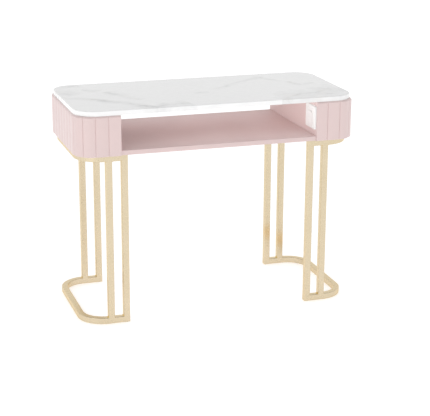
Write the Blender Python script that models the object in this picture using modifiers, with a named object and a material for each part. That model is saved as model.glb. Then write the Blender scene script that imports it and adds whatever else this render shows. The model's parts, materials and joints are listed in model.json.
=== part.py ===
"""A manicure table: a marble top on two fluted boxes, an open shelf between them, and gold tube frames.

Metres, +Z up. The origin is on the floor under the middle of the table; the open front faces -Y and
the table's length runs along X. Left is -X and right is +X, as seen from the front.
"""

import math

import bmesh
import bpy
from mathutils import Matrix, Vector

# Clearance kept between two pieces that touch, and how far a cutter runs past the face that it opens
GAP = 0.0003
OVERRUN = 0.010

# The whole table
LENGTH = 1.000
DEPTH = 0.460
HEIGHT = 0.762

# Marble top
TOP_THICKNESS = 0.017
TOP_CORNER_RADIUS = 0.073
TOP_EDGE_ROUND = 0.002

# Boxes under the two ends of the top, and the cubby between them
BOX_HEIGHT = 0.1375
CUBBY_HALF_WIDTH = 0.352
PANEL_THICKNESS = 0.015
BOARD_THICKNESS = 0.012
FORMER_WIDTH = 0.020

# Fluted skin that wraps each box
SKIN_PROUD = 0.006
SKIN_THICKNESS = 0.009
SKIN_DROP = 0.0015
SKIN_CORNER_RADIUS = 0.070
SKIN_TOP_ROUND = 0.006
SKIN_BOTTOM_ROUND = 0.002
SKIN_END_ROUND = 0.0015
FLUTES = 16
END_FLUTE = 0.042
GROOVE_DEPTH = 0.0025

# Shelf
SHELF_THICKNESS = 0.016
SHELF_FRONT_SETBACK = 0.003
SHELF_REAR_SETBACK = 0.011
SHELF_EDGE_ROUND = 0.001
DOWEL_RADIUS = 0.004
DOWEL_CHAMFER = 0.0008
DOWEL_LENGTH = 0.030
DOWEL_IN_PANEL = 0.012
DOWEL_Y = 0.150

# Square-tube frames
TUBE = 0.022
TUBE_WALL = 0.0015
TUBE_EDGE_ROUND = 0.002
FRAME_HALF_LENGTH = 0.496
FRAME_HALF_DEPTH = 0.2225
FRAME_CORNER_RADIUS = 0.094
FRAME_INNER_END = 0.3275
LEG_PITCH = 0.0545
VENT_RADIUS = 0.004

# Mounting tabs on the top bars, and their wood screws
TAB_LENGTH = 0.026
TAB_WIDTH = 0.030
TAB_THICKNESS = 0.003
TAB_HOLE_RADIUS = 0.0026
TAB_FRONT_X = 0.386
SCREW_HEAD_RADIUS = 0.0045
SCREW_HEAD_HEIGHT = 0.0026
SCREW_SHANK_RADIUS = 0.0021
SCREW_LENGTH = 0.012
SCREW_POINT_LENGTH = 0.004

# Floor glides
GLIDE_RADIUS = 0.008
GLIDE_THICKNESS = 0.002
GLIDE_STEM_RADIUS = 0.003
GLIDE_STEM_HEIGHT = 0.008
GLIDE_CHAMFER = 0.0008
GLIDE_HOLE_RADIUS = 0.0034

# Outlet in the right inner panel
PLATE_SIZE = 0.083
PLATE_THICKNESS = 0.0085
PLATE_Y = -0.189
PLATE_Z = 0.6875
PLATE_EDGE_ROUND = 0.002
PLATE_WALL = 0.002
INSERT_SIZE = 0.0614
INSERT_PROUD = 0.0004
INSERT_EDGE_ROUND = 0.0008
STRAP_WIDTH = 0.040
STRAP_HEIGHT = 0.076
STRAP_THICKNESS = 0.002
SOCKET_BODY_SIZE = 0.046
SOCKET_BODY_DEPTH = 0.024
PIN_HOLE_DEPTH = 0.014
OUTLET_SCREW_SPACING = 0.0684
OUTLET_SCREW_LENGTH = 0.012
OUTLET_SCREW_RADIUS = 0.0018
OUTLET_HEAD_RADIUS = 0.0030
OUTLET_HEAD_HEIGHT = 0.0018
BACK_BOX_SIZE = 0.054
BACK_BOX_DEPTH = 0.042
BACK_BOX_WALL = 0.0018

# Mains lead inside the right box, and the gland in the bottom board where it leaves
LEAD_RADIUS = 0.0035
LEAD_HOLE_RADIUS = 0.0042
GLAND_X = 0.430
GLAND_Y = 0.092
GLAND_BODY_RADIUS = 0.0078
GLAND_FLANGE_RADIUS = 0.011
GLAND_FLANGE_HEIGHT = 0.004
GLAND_NOSE_LENGTH = 0.010
GLAND_NOSE_TAPER = 0.0015
GLAND_THREAD_SHOWING = 0.003
NUT_RADIUS = 0.012
NUT_HEIGHT = 0.006

# Levels, from the floor up
FLOOR_BAR_LOW = GLIDE_THICKNESS + GAP
FLOOR_BAR_HIGH = FLOOR_BAR_LOW + TUBE
TOP_UNDERSIDE = HEIGHT - TOP_THICKNESS
BOX_LOW = TOP_UNDERSIDE - BOX_HEIGHT
BOX_HIGH = TOP_UNDERSIDE - GAP
TOP_BAR_HIGH = BOX_LOW - GAP
TOP_BAR_LOW = TOP_BAR_HIGH - TUBE
BOARD_HIGH = BOX_LOW + BOARD_THICKNESS
SHELF_HIGH = BOX_LOW + SHELF_THICKNESS

# Half sizes of the skin, and of the space inside it
SKIN_HALF_LENGTH = LENGTH / 2 + SKIN_PROUD
SKIN_HALF_DEPTH = DEPTH / 2 + SKIN_PROUD
INSIDE_HALF_LENGTH = SKIN_HALF_LENGTH - SKIN_THICKNESS - GAP
INSIDE_HALF_DEPTH = SKIN_HALF_DEPTH - SKIN_THICKNESS - GAP
INSIDE_CORNER_RADIUS = SKIN_CORNER_RADIUS - SKIN_THICKNESS - GAP

SIDES = (("left", -1), ("right", 1))
ENDS = (("front", -1), ("rear", 1))
ARC_SEGMENTS = 8


# --- Scene, materials and collections -------------------------------------------------------------


def clear_scene():
    for item in list(bpy.data.objects):
        bpy.data.objects.remove(item, do_unlink=True)


def new_collection(name):
    collection = bpy.data.collections.new(name)
    bpy.context.scene.collection.children.link(collection)
    return collection


def new_material(name, colour, roughness, metallic=0.0):
    material = bpy.data.materials.new(name)
    material.use_nodes = True
    shader = material.node_tree.nodes["Principled BSDF"]
    shader.inputs["Base Color"].default_value = (*colour, 1.0)
    shader.inputs["Roughness"].default_value = roughness
    shader.inputs["Metallic"].default_value = metallic
    return material


def add_object(name, data, material=None):
    """A new object among the parts, or among the cutters when it has no material."""
    item = bpy.data.objects.new(name, data)
    if material is None:
        CUTTERS.objects.link(item)
        item.hide_render = True
        item.display_type = "WIRE"
    else:
        PARTS.objects.link(item)
        data.materials.append(material)
    return item


# --- Solids ---------------------------------------------------------------------------------------


def finish_mesh(mesh, shape):
    bmesh.ops.recalc_face_normals(shape, faces=shape.faces)
    shape.to_mesh(mesh)
    shape.free()
    mesh.shade_smooth()
    mesh.set_sharp_from_angle(angle=math.radians(35))


def flat_solid(name, outlines, low, high, material=None):
    """A board between two levels: its first outline, less the others, as a filled and extruded 2D curve."""
    curve = bpy.data.curves.new(name + "_outline", "CURVE")
    curve.dimensions = "2D"
    curve.fill_mode = "BOTH"
    curve.extrude = (high - low) / 2
    for outline in outlines:
        spline = curve.splines.new("POLY")
        spline.points.add(len(outline) - 1)
        for point, (x, y) in zip(spline.points, outline):
            point.co = (x, y, 0, 1)
        spline.use_cyclic_u = True
    drawn = bpy.data.objects.new(name + "_outline", curve)
    drawn.location.z = (low + high) / 2
    bpy.context.scene.collection.objects.link(drawn)
    graph = bpy.context.evaluated_depsgraph_get()
    mesh = bpy.data.meshes.new_from_object(drawn.evaluated_get(graph))
    mesh.name = name
    shape = bmesh.new()
    shape.from_mesh(mesh)
    bmesh.ops.remove_doubles(shape, verts=shape.verts, dist=1e-5)
    finish_mesh(mesh, shape)
    item = add_object(name, mesh, material)
    item.matrix_world = drawn.matrix_world.copy()
    bpy.data.objects.remove(drawn)
    return item


def box_solid(name, low, high, material=None):
    """A rectangular block between two opposite corners, its origin at its middle."""
    low, high = Vector(low), Vector(high)
    shape = bmesh.new()
    bmesh.ops.create_cube(shape, size=1.0)
    bmesh.ops.scale(shape, vec=high - low, verts=shape.verts)
    mesh = bpy.data.meshes.new(name)
    finish_mesh(mesh, shape)
    item = add_object(name, mesh, material)
    item.location = (low + high) / 2
    return item


def rods_solid(name, rods, radius, material=None, segments=12):
    """Cylinders of one radius, each given by the two ends of its axis."""
    shape = bmesh.new()
    for start, end in rods:
        start, end = Vector(start), Vector(end)
        turn = Vector((0, 0, 1)).rotation_difference(end - start).to_matrix().to_4x4()
        bmesh.ops.create_cone(
            shape,
            cap_ends=True,
            segments=segments,
            radius1=radius,
            radius2=radius,
            depth=(end - start).length,
            matrix=Matrix.Translation((start + end) / 2) @ turn,
        )
    mesh = bpy.data.meshes.new(name)
    finish_mesh(mesh, shape)
    return add_object(name, mesh, material)


def turned_solid(name, profile, location, material, axis=(0, 0, 1), steps=16):
    """A turned piece: (radius, height) points from its top down its outer side, spun about the axis."""
    shape = bmesh.new()
    points = [shape.verts.new((radius, 0, height)) for radius, height in profile]
    for first, second in zip(points, points[1:]):
        shape.edges.new((first, second))
    mesh = bpy.data.meshes.new(name)
    shape.to_mesh(mesh)
    shape.free()
    item = add_object(name, mesh, material)
    item.location = location
    item.rotation_mode = "QUATERNION"
    item.rotation_quaternion = Vector((0, 0, 1)).rotation_difference(Vector(axis))
    spin = item.modifiers.new("Spin", "SCREW")
    spin.steps = steps
    spin.render_steps = steps
    spin.use_merge_vertices = True
    spin.merge_threshold = 1e-5
    spin.use_smooth_shade = True
    return item


def round_edges(item, width, segments=1):
    bevel = item.modifiers.new("Round edges", "BEVEL")
    bevel.width = width
    bevel.segments = segments
    bevel.limit_method = "ANGLE"
    bevel.angle_limit = math.radians(40)


def combine(item, other, operation):
    modifier = item.modifiers.new(operation.title(), "BOOLEAN")
    modifier.operation = operation
    modifier.object = other


def cut(item, *cutters):
    for cutter in cutters:
        combine(item, cutter, "DIFFERENCE")


# --- Outlines -------------------------------------------------------------------------------------


def arc(centre_x, centre_y, radius, start, end):
    """Points of an arc between two angles in degrees, with both its ends."""
    points = []
    for step in range(ARC_SEGMENTS + 1):
        angle = math.radians(start + (end - start) * step / ARC_SEGMENTS)
        points.append((centre_x + radius * math.cos(angle), centre_y + radius * math.sin(angle)))
    return points


def rectangle(half_x, half_y, centre=(0.0, 0.0)):
    x, y = centre
    signs = ((-1, -1), (1, -1), (1, 1), (-1, 1))
    return [(x + sign_x * half_x, y + sign_y * half_y) for sign_x, sign_y in signs]


def rounded_rectangle(half_x, half_y, radius, centre=(0.0, 0.0)):
    x, y = half_x - radius, half_y - radius
    corners = ((x, -y, -90), (x, y, 0), (-x, y, 90), (-x, -y, 180))
    points = []
    for corner_x, corner_y, start in corners:
        points += arc(centre[0] + corner_x, centre[1] + corner_y, radius, start, start + 90)
    return points


def c_path(side, half_length, half_depth, radius, inner_end):
    """Front run, corner, end run, corner and rear run of a C that is open toward the table's middle."""
    centre_x, centre_y = half_length - radius, half_depth - radius
    path = [(inner_end, -half_depth)]
    path += arc(centre_x, -centre_y, radius, -90, 0)
    path += arc(centre_x, centre_y, radius, 0, 90)
    path.append((inner_end, half_depth))
    return [(side * x, y) for x, y in path]


def c_band(side, half_length, half_depth, radius, width, inner_end):
    """Outline of a C-shaped band: along its outer edge, then back along its inner edge."""
    outer = c_path(side, half_length, half_depth, radius, inner_end)
    inner = c_path(side, half_length - width, half_depth - width, radius - width, inner_end)
    return outer + inner[::-1]


def along(path, distance):
    """The point of a path at a distance from its start, and the direction that the path has there."""
    for start, end in zip(path, path[1:]):
        start, end = Vector(start), Vector(end)
        length = (end - start).length
        if distance <= length:
            return start.lerp(end, distance / length), (end - start).normalized()
        distance -= length
    raise ValueError("the distance is past the path's end")


def path_length(path):
    return sum((Vector(end) - Vector(start)).length for start, end in zip(path, path[1:]))


# --- Marble top, shelf and boxes ------------------------------------------------------------------


def make_tabletop():
    outline = rounded_rectangle(LENGTH / 2, DEPTH / 2, TOP_CORNER_RADIUS)
    top = flat_solid("tabletop", [outline], TOP_UNDERSIDE, HEIGHT, MARBLE)
    round_edges(top, TOP_EDGE_ROUND, segments=2)


def dowel_ends(side, end, clearance=0.0):
    """The two ends of a shelf dowel's axis; the clearance lengthens it at both ends."""
    outer = CUBBY_HALF_WIDTH + DOWEL_IN_PANEL + clearance
    inner = CUBBY_HALF_WIDTH + DOWEL_IN_PANEL - DOWEL_LENGTH - clearance
    level = BOX_LOW + SHELF_THICKNESS / 2
    return (side * inner, end * DOWEL_Y, level), (side * outer, end * DOWEL_Y, level)


def make_dowels():
    for side_name, side in SIDES:
        for end_name, end in ENDS:
            name = f"{side_name}_{end_name}_shelf_dowel"
            dowel = rods_solid(name, [dowel_ends(side, end)], DOWEL_RADIUS, RAW_WOOD)
            round_edges(dowel, DOWEL_CHAMFER)


def make_shelf(dowel_holes):
    half_length = CUBBY_HALF_WIDTH - GAP
    front = -SKIN_HALF_DEPTH + SHELF_FRONT_SETBACK
    rear = SKIN_HALF_DEPTH - SHELF_REAR_SETBACK
    shelf = box_solid("shelf", (-half_length, front, BOX_LOW), (half_length, rear, SHELF_HIGH), PINK)
    round_edges(shelf, SHELF_EDGE_ROUND)
    cut(shelf, dowel_holes)


def join_flat_faces(item):
    """Makes one face of each flat run of triangles, so that a bevel has clean edges to work from."""
    shape = bmesh.new()
    shape.from_mesh(item.data)
    bmesh.ops.dissolve_limit(shape, angle_limit=math.radians(1), verts=shape.verts, edges=shape.edges)
    shape.to_mesh(item.data)
    shape.free()


def mark_skin_edges(skin, outer):
    """Bevel weights for the skin's outer edges: full at the top, less at the bottom and at its two ends."""
    half_height = (BOX_HIGH - BOX_LOW) / 2
    on_outside = {(round(x, 5), round(y, 5)) for x, y in outer}
    ends = {(round(x, 5), round(y, 5)) for x, y in (outer[0], outer[-1])}
    weights = skin.data.attributes.new("bevel_weight_edge", "FLOAT", "EDGE")
    for edge in skin.data.edges:
        start, end = (skin.data.vertices[index].co for index in edge.vertices)
        flat = [(round(point.x, 5), round(point.y, 5)) for point in (start, end)]
        if not on_outside.issuperset(flat):
            continue
        if flat[0] == flat[1]:
            weight = SKIN_END_ROUND / SKIN_TOP_ROUND if flat[0] in ends else 0.0
        elif abs(start.z - end.z) > half_height:
            weight = 0.0
        else:
            weight = 1.0 if start.z > 0 else SKIN_BOTTOM_ROUND / SKIN_TOP_ROUND
        weights.data[edge.index].value = weight


def groove_cutter(name, outer):
    """Upright square bars, set corner-first into the skin wherever two flutes meet."""
    pitch = (path_length(outer) - 2 * END_FLUTE) / (FLUTES - 2)
    bar_side = GROOVE_DEPTH * math.sqrt(2)
    shape = bmesh.new()
    for flute in range(FLUTES - 1):
        place, heading = along(outer, END_FLUTE + flute * pitch)
        turn = Matrix.Rotation(math.atan2(heading.y, heading.x) + math.pi / 4, 4, "Z")
        size = Matrix.Diagonal((bar_side, bar_side, BOX_HEIGHT + 2 * OVERRUN, 1.0))
        middle = Vector((place.x, place.y, BOX_LOW + BOX_HEIGHT / 2))
        bmesh.ops.create_cube(shape, size=1.0, matrix=Matrix.Translation(middle) @ turn @ size)
    mesh = bpy.data.meshes.new(name)
    finish_mesh(mesh, shape)
    return add_object(name, mesh)


def make_skin(side_name, side):
    size = (side, SKIN_HALF_LENGTH, SKIN_HALF_DEPTH, SKIN_CORNER_RADIUS)
    outer = c_path(*size, CUBBY_HALF_WIDTH)
    band = c_band(*size, SKIN_THICKNESS, CUBBY_HALF_WIDTH)
    skin = flat_solid(f"{side_name}_fluted_skin", [band], BOX_LOW - SKIN_DROP, BOX_HIGH, PINK)
    join_flat_faces(skin)
    mark_skin_edges(skin, outer)
    bevel = skin.modifiers.new("Round outer edges", "BEVEL")
    bevel.limit_method = "WEIGHT"
    bevel.width = SKIN_TOP_ROUND
    bevel.segments = 2
    cut(skin, groove_cutter(f"{side_name}_groove_cutter", outer))


def board_outline(side):
    """The plan of a box's inside, between its inner panel and its skin."""
    inner = CUBBY_HALF_WIDTH + PANEL_THICKNESS + GAP
    return c_path(side, INSIDE_HALF_LENGTH, INSIDE_HALF_DEPTH, INSIDE_CORNER_RADIUS, inner)


def former_outline(side, end):
    """A quarter ring behind a bent corner of the skin."""
    x = INSIDE_HALF_LENGTH - INSIDE_CORNER_RADIUS
    y = INSIDE_HALF_DEPTH - INSIDE_CORNER_RADIUS
    radius = INSIDE_CORNER_RADIUS - GAP
    ring = arc(x, y, radius, 0, 90) + arc(x, y, radius - FORMER_WIDTH, 90, 0)
    return [(side * point_x, end * point_y) for point_x, point_y in ring]


def make_box(side_name, side, dowel_holes, screw_holes):
    inner = side * CUBBY_HALF_WIDTH
    outer = side * (CUBBY_HALF_WIDTH + PANEL_THICKNESS)
    low = (min(inner, outer), -INSIDE_HALF_DEPTH, BOX_LOW)
    high = (max(inner, outer), INSIDE_HALF_DEPTH, BOX_HIGH)
    panel = box_solid(f"{side_name}_inner_panel", low, high, PINK)
    cut(panel, dowel_holes)
    outline = board_outline(side)
    bottom = flat_solid(f"{side_name}_bottom_board", [outline], BOX_LOW, BOARD_HIGH, RAW_WOOD)
    cut(bottom, screw_holes)
    top_low = BOX_HIGH - BOARD_THICKNESS
    flat_solid(f"{side_name}_top_board", [outline], top_low, BOX_HIGH, RAW_WOOD)
    for end_name, end in ENDS:
        name = f"{side_name}_{end_name}_former"
        flat_solid(name, [former_outline(side, end)], BOARD_HIGH + GAP, top_low - GAP, RAW_WOOD)
    return panel, bottom


# --- Frames ---------------------------------------------------------------------------------------


def leg_middle(which):
    """Distance of a leg's middle from the table's middle; the inner leg is 0, the outer one 1."""
    return FRAME_INNER_END + TUBE / 2 + which * LEG_PITCH


def leg_places(side):
    """(name, x, y) of the middle of each leg of one frame."""
    places = []
    for end_name, end in ENDS:
        for which, leg_name in enumerate(("inner", "outer")):
            y = end * (FRAME_HALF_DEPTH - TUBE / 2)
            places.append((f"{end_name}_{leg_name}", side * leg_middle(which), y))
    return places


def glide_places(side):
    """(name, x, y) of the glides of one floor bar: at its two ends and at its two corners."""
    middle_radius = FRAME_CORNER_RADIUS - TUBE / 2
    reach = middle_radius * math.sqrt(0.5)
    places = []
    for end_name, end in ENDS:
        corner_x = FRAME_HALF_LENGTH - FRAME_CORNER_RADIUS + reach
        corner_y = FRAME_HALF_DEPTH - FRAME_CORNER_RADIUS + reach
        places.append((f"{end_name}_corner", side * corner_x, end * corner_y))
        places.append((f"{end_name}_end", side * leg_middle(0), end * (FRAME_HALF_DEPTH - TUBE / 2)))
    return places


def make_bar(name, side, low, vent_levels):
    """A C-shaped square tube, closed at both ends, with a vent into each leg."""
    frame = (FRAME_HALF_LENGTH, FRAME_HALF_DEPTH, FRAME_CORNER_RADIUS)
    band = c_band(side, *frame, TUBE, FRAME_INNER_END)
    bar = flat_solid(name, [band], low, low + TUBE, GOLD)
    round_edges(bar, TUBE_EDGE_ROUND)
    bore = (size - TUBE_WALL for size in frame)
    hollow = c_band(side, *bore, TUBE - 2 * TUBE_WALL, FRAME_INNER_END + TUBE_WALL)
    cut(bar, flat_solid(name + "_bore", [hollow], low + TUBE_WALL, low + TUBE - TUBE_WALL))
    vents = [((x, y, vent_levels[0]), (x, y, vent_levels[1])) for _, x, y in leg_places(side)]
    cut(bar, rods_solid(name + "_vents", vents, VENT_RADIUS))
    return bar


def make_legs(side_name, side):
    low, high = FLOOR_BAR_HIGH + GAP, TOP_BAR_LOW - GAP
    for leg_name, x, y in leg_places(side):
        outside = rounded_rectangle(TUBE / 2, TUBE / 2, TUBE_EDGE_ROUND, (x, y))
        bore = rectangle(TUBE / 2 - TUBE_WALL, TUBE / 2 - TUBE_WALL, (x, y))
        flat_solid(f"{side_name}_{leg_name}_leg", [outside, bore], low, high, GOLD)


def make_glides(side_name, side, floor_bar):
    profile = (
        (0, GLIDE_STEM_HEIGHT),
        (GLIDE_STEM_RADIUS, GLIDE_STEM_HEIGHT - GLIDE_CHAMFER),
        (GLIDE_STEM_RADIUS, GLIDE_THICKNESS),
        (GLIDE_RADIUS, GLIDE_THICKNESS),
        (GLIDE_RADIUS - GLIDE_CHAMFER, 0),
        (0, 0),
    )
    holes = []
    for glide_name, x, y in glide_places(side):
        turned_solid(f"{side_name}_{glide_name}_glide", profile, (x, y, 0), NYLON, steps=14)
        holes.append(((x, y, 0), (x, y, FLOOR_BAR_LOW + 2 * TUBE_WALL)))
    cut(floor_bar, rods_solid(f"{side_name}_glide_holes", holes, GLIDE_HOLE_RADIUS))


def tab_places(side):
    """(name, (x, y) of the tab's middle, half size along x, half size along y) for one top bar."""
    reach = FRAME_HALF_DEPTH - TUBE - GAP - TAB_LENGTH / 2
    end_x = FRAME_HALF_LENGTH - TUBE - GAP - TAB_LENGTH / 2
    return (
        ("front", (side * TAB_FRONT_X, -reach), TAB_WIDTH / 2, TAB_LENGTH / 2),
        ("end", (side * end_x, 0.0), TAB_LENGTH / 2, TAB_WIDTH / 2),
        ("rear", (side * TAB_FRONT_X, reach), TAB_WIDTH / 2, TAB_LENGTH / 2),
    )


def make_tabs(side_name, side):
    """Steel tabs inside the top bar, each with a wood screw up into the bottom board."""
    low = TOP_BAR_HIGH - TAB_THICKNESS
    head = -TAB_THICKNESS - GAP
    profile = (
        (0, SCREW_LENGTH),
        (SCREW_SHANK_RADIUS, SCREW_LENGTH - SCREW_POINT_LENGTH),
        (SCREW_SHANK_RADIUS, head),
        (SCREW_HEAD_RADIUS, head),
        (SCREW_HEAD_RADIUS * 0.8, head - SCREW_HEAD_HEIGHT * 0.7),
        (0, head - SCREW_HEAD_HEIGHT),
    )
    for tab_name, (x, y), half_x, half_y in tab_places(side):
        name = f"{side_name}_{tab_name}_mounting_tab"
        tab = box_solid(name, (x - half_x, y - half_y, low), (x + half_x, y + half_y, TOP_BAR_HIGH), GOLD)
        hole = [((x, y, low - OVERRUN), (x, y, TOP_BAR_HIGH + OVERRUN))]
        cut(tab, rods_solid(name + "_hole", hole, TAB_HOLE_RADIUS))
        screw_name = f"{side_name}_{tab_name}_tab_screw"
        turned_solid(screw_name, profile, (x, y, TOP_BAR_HIGH), STEEL, steps=12)


def tab_screw_holes(side_name, side):
    """Cutter for the holes that the tab screws fill; they go right through a bottom board."""
    low, high = BOX_LOW - OVERRUN, BOARD_HIGH + OVERRUN
    holes = [((x, y, low), (x, y, high)) for _, (x, y), _, _ in tab_places(side)]
    return rods_solid(f"{side_name}_screw_holes", holes, SCREW_SHANK_RADIUS + GAP)


# --- Outlet, lead and gland in the right box ------------------------------------------------------


def wall_block(name, size_y, size_z, near, far, material=None):
    """A block in front of or behind the outlet's wall, centred on the outlet; distances are along +X."""
    low = (near, PLATE_Y - size_y / 2, PLATE_Z - size_z / 2)
    high = (far, PLATE_Y + size_y / 2, PLATE_Z + size_z / 2)
    return box_solid(name, low, high, material)


def make_bezel():
    """The outlet's cover frame: a shallow shell, open at its back, with a square window."""
    wall = CUBBY_HALF_WIDTH - GAP
    face = wall - PLATE_THICKNESS
    bezel = wall_block("outlet_bezel", PLATE_SIZE, PLATE_SIZE, face, wall, WHITE_PLASTIC)
    round_edges(bezel, PLATE_EDGE_ROUND, segments=3)
    inside = PLATE_SIZE - 2 * PLATE_WALL
    hollow = wall_block("bezel_hollow", inside, inside, face + PLATE_WALL, wall + OVERRUN)
    window_size = INSERT_SIZE + 2 * GAP
    window = wall_block("bezel_window", window_size, window_size, face - OVERRUN, wall)
    cut(bezel, hollow, window)


# Plug holes: y and z from the outlet's middle, width, height, and slant in degrees. A two-pin pair
# is above, and below it an earth slot under two slanted ones.
PIN_HOLES = (
    (-0.0086, 0.0190, 0.0066, 0.0038, 0),
    (0.0086, 0.0190, 0.0066, 0.0038, 0),
    (-0.0070, -0.0080, 0.0022, 0.0080, 30),
    (0.0070, -0.0080, 0.0022, 0.0080, -30),
    (0.0, -0.0195, 0.0022, 0.0085, 0),
)


def pin_hole_cutter():
    front = CUBBY_HALF_WIDTH - GAP - PLATE_THICKNESS - INSERT_PROUD - OVERRUN
    depth = PIN_HOLE_DEPTH + OVERRUN
    shape = bmesh.new()
    for y, z, width, height, slant in PIN_HOLES:
        place = Matrix.Translation((front + depth / 2, PLATE_Y + y, PLATE_Z + z))
        turn = Matrix.Rotation(math.radians(slant), 4, "X")
        size = Matrix.Diagonal((depth, width, height, 1.0))
        bmesh.ops.create_cube(shape, size=1.0, matrix=place @ turn @ size)
    mesh = bpy.data.meshes.new("pin_holes")
    finish_mesh(mesh, shape)
    return add_object("pin_holes", mesh)


def make_socket(screw_axes):
    """The outlet's insert, its screw strap and the body that reaches into the back box, in one piece."""
    wall = CUBBY_HALF_WIDTH - GAP
    face = wall - PLATE_THICKNESS - INSERT_PROUD
    socket = wall_block("outlet_socket", INSERT_SIZE, INSERT_SIZE, face, wall, WHITE_PLASTIC)
    round_edges(socket, INSERT_EDGE_ROUND)
    strap = wall_block("socket_strap", STRAP_WIDTH, STRAP_HEIGHT, wall - STRAP_THICKNESS, wall)
    body_rear = wall + SOCKET_BODY_DEPTH
    body_near = wall - STRAP_THICKNESS / 2
    body = wall_block("socket_body", SOCKET_BODY_SIZE, SOCKET_BODY_SIZE, body_near, body_rear)
    combine(socket, strap, "UNION")
    combine(socket, body, "UNION")
    cut(socket, pin_hole_cutter())
    cut(socket, rods_solid("strap_holes", screw_axes, OUTLET_SCREW_RADIUS + 2 * GAP))


def outlet_screw_axes():
    """Axes of the screw holes, from in front of the strap to a little past the screws' points."""
    front = CUBBY_HALF_WIDTH - 2 * STRAP_THICKNESS
    rear = CUBBY_HALF_WIDTH + OUTLET_SCREW_LENGTH + GAP
    axes = []
    for direction in (1, -1):
        level = PLATE_Z + direction * OUTLET_SCREW_SPACING / 2
        axes.append(((front, PLATE_Y, level), (rear, PLATE_Y, level)))
    return axes


def make_outlet_screws():
    head = -STRAP_THICKNESS - GAP
    profile = (
        (0, OUTLET_SCREW_LENGTH),
        (OUTLET_SCREW_RADIUS, OUTLET_SCREW_LENGTH - SCREW_POINT_LENGTH),
        (OUTLET_SCREW_RADIUS, head),
        (OUTLET_HEAD_RADIUS, head),
        (OUTLET_HEAD_RADIUS * 0.7, head - OUTLET_HEAD_HEIGHT),
        (0, head - OUTLET_HEAD_HEIGHT),
    )
    for name, direction in (("outlet_screw_upper", 1), ("outlet_screw_lower", -1)):
        level = PLATE_Z + direction * OUTLET_SCREW_SPACING / 2
        place = (CUBBY_HALF_WIDTH - GAP, PLATE_Y, level)
        turned_solid(name, profile, place, STEEL, axis=(1, 0, 0), steps=12)


def make_back_box():
    """An open-fronted box in the inner panel's cut-out, with a hole for the lead toward the rear."""
    near = CUBBY_HALF_WIDTH + GAP
    far = near + BACK_BOX_DEPTH
    box = wall_block("outlet_back_box", BACK_BOX_SIZE, BACK_BOX_SIZE, near, far, GREY_PLASTIC)
    inside = BACK_BOX_SIZE - 2 * BACK_BOX_WALL
    cut(box, wall_block("back_box_hollow", inside, inside, near - OVERRUN, far - BACK_BOX_WALL))
    cut(box, rods_solid("back_box_lead_hole", [LEAD_ROUTE[:2]], LEAD_HOLE_RADIUS))


# Middle line of the lead: out of the back box's rear side, along inside the box, down into the gland.
LEAD_ROUTE = (
    (0.3885, PLATE_Y + 0.0215, PLATE_Z),
    (0.3885, PLATE_Y + 0.0400, PLATE_Z),
    (0.3920, -0.1100, 0.688),
    (0.4020, -0.0500, 0.692),
    (0.4140, 0.0050, 0.694),
    (0.4240, 0.0480, 0.688),
    (0.4290, 0.0770, 0.672),
    (GLAND_X, 0.0895, 0.651),
    (GLAND_X, GLAND_Y, 0.632),
    (GLAND_X, GLAND_Y, 0.612),
)


def smooth_route(points, steps):
    """Catmull-Rom curve through the points, with so many steps from each point to the next."""
    points = [Vector(point) for point in points]
    padded = [2 * points[0] - points[1], *points, 2 * points[-1] - points[-2]]
    curve = []
    for before, start, end, after in zip(padded, padded[1:], padded[2:], padded[3:]):
        for step in range(steps):
            t = step / steps
            bend = (2 * before - 5 * start + 4 * end - after) * t**2
            twist = (3 * start - before - 3 * end + after) * t**3
            curve.append(start + ((end - before) * t + bend + twist) / 2)
    return [*curve, points[-1]]


def make_lead():
    curve = bpy.data.curves.new("mains_lead", "CURVE")
    curve.dimensions = "3D"
    curve.bevel_depth = LEAD_RADIUS
    curve.bevel_resolution = 2
    curve.use_fill_caps = True
    route = smooth_route(LEAD_ROUTE, 2)
    spline = curve.splines.new("POLY")
    spline.points.add(len(route) - 1)
    for point, place in zip(spline.points, route):
        point.co = (*place, 1)
    add_object("mains_lead", curve, BLACK_PLASTIC)


def make_gland(bottom_board):
    """The lead's gland through the right bottom board, and the hexagonal nut that holds it from inside."""
    low = TOP_BAR_HIGH
    bore = LEAD_RADIUS + GAP
    top = BOARD_THICKNESS + NUT_HEIGHT + GLAND_THREAD_SHOWING
    profile = (
        (bore, top),
        (GLAND_BODY_RADIUS, top),
        (GLAND_BODY_RADIUS, 0),
        (GLAND_FLANGE_RADIUS, 0),
        (GLAND_FLANGE_RADIUS, GLAND_NOSE_TAPER - GLAND_FLANGE_HEIGHT),
        (GLAND_FLANGE_RADIUS - GLAND_NOSE_TAPER, -GLAND_FLANGE_HEIGHT),
        (GLAND_BODY_RADIUS, -GLAND_FLANGE_HEIGHT),
        (GLAND_BODY_RADIUS - GLAND_NOSE_TAPER, -GLAND_NOSE_LENGTH),
        (bore, -GLAND_NOSE_LENGTH),
        (bore, top),
    )
    turned_solid("cable_gland", profile, (GLAND_X, GLAND_Y, low), BLACK_PLASTIC)
    hole_radius = GLAND_BODY_RADIUS + GAP
    through = [((GLAND_X, GLAND_Y, BOX_LOW - OVERRUN), (GLAND_X, GLAND_Y, BOARD_HIGH + 2 * OVERRUN))]
    hole = rods_solid("gland_hole", through, hole_radius, segments=16)
    cut(bottom_board, hole)
    nut_low = BOARD_HIGH + GAP
    nut_axis = [((GLAND_X, GLAND_Y, nut_low), (GLAND_X, GLAND_Y, nut_low + NUT_HEIGHT))]
    nut = rods_solid("gland_locknut", nut_axis, NUT_RADIUS, BLACK_PLASTIC, segments=6)
    cut(nut, hole)


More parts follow.
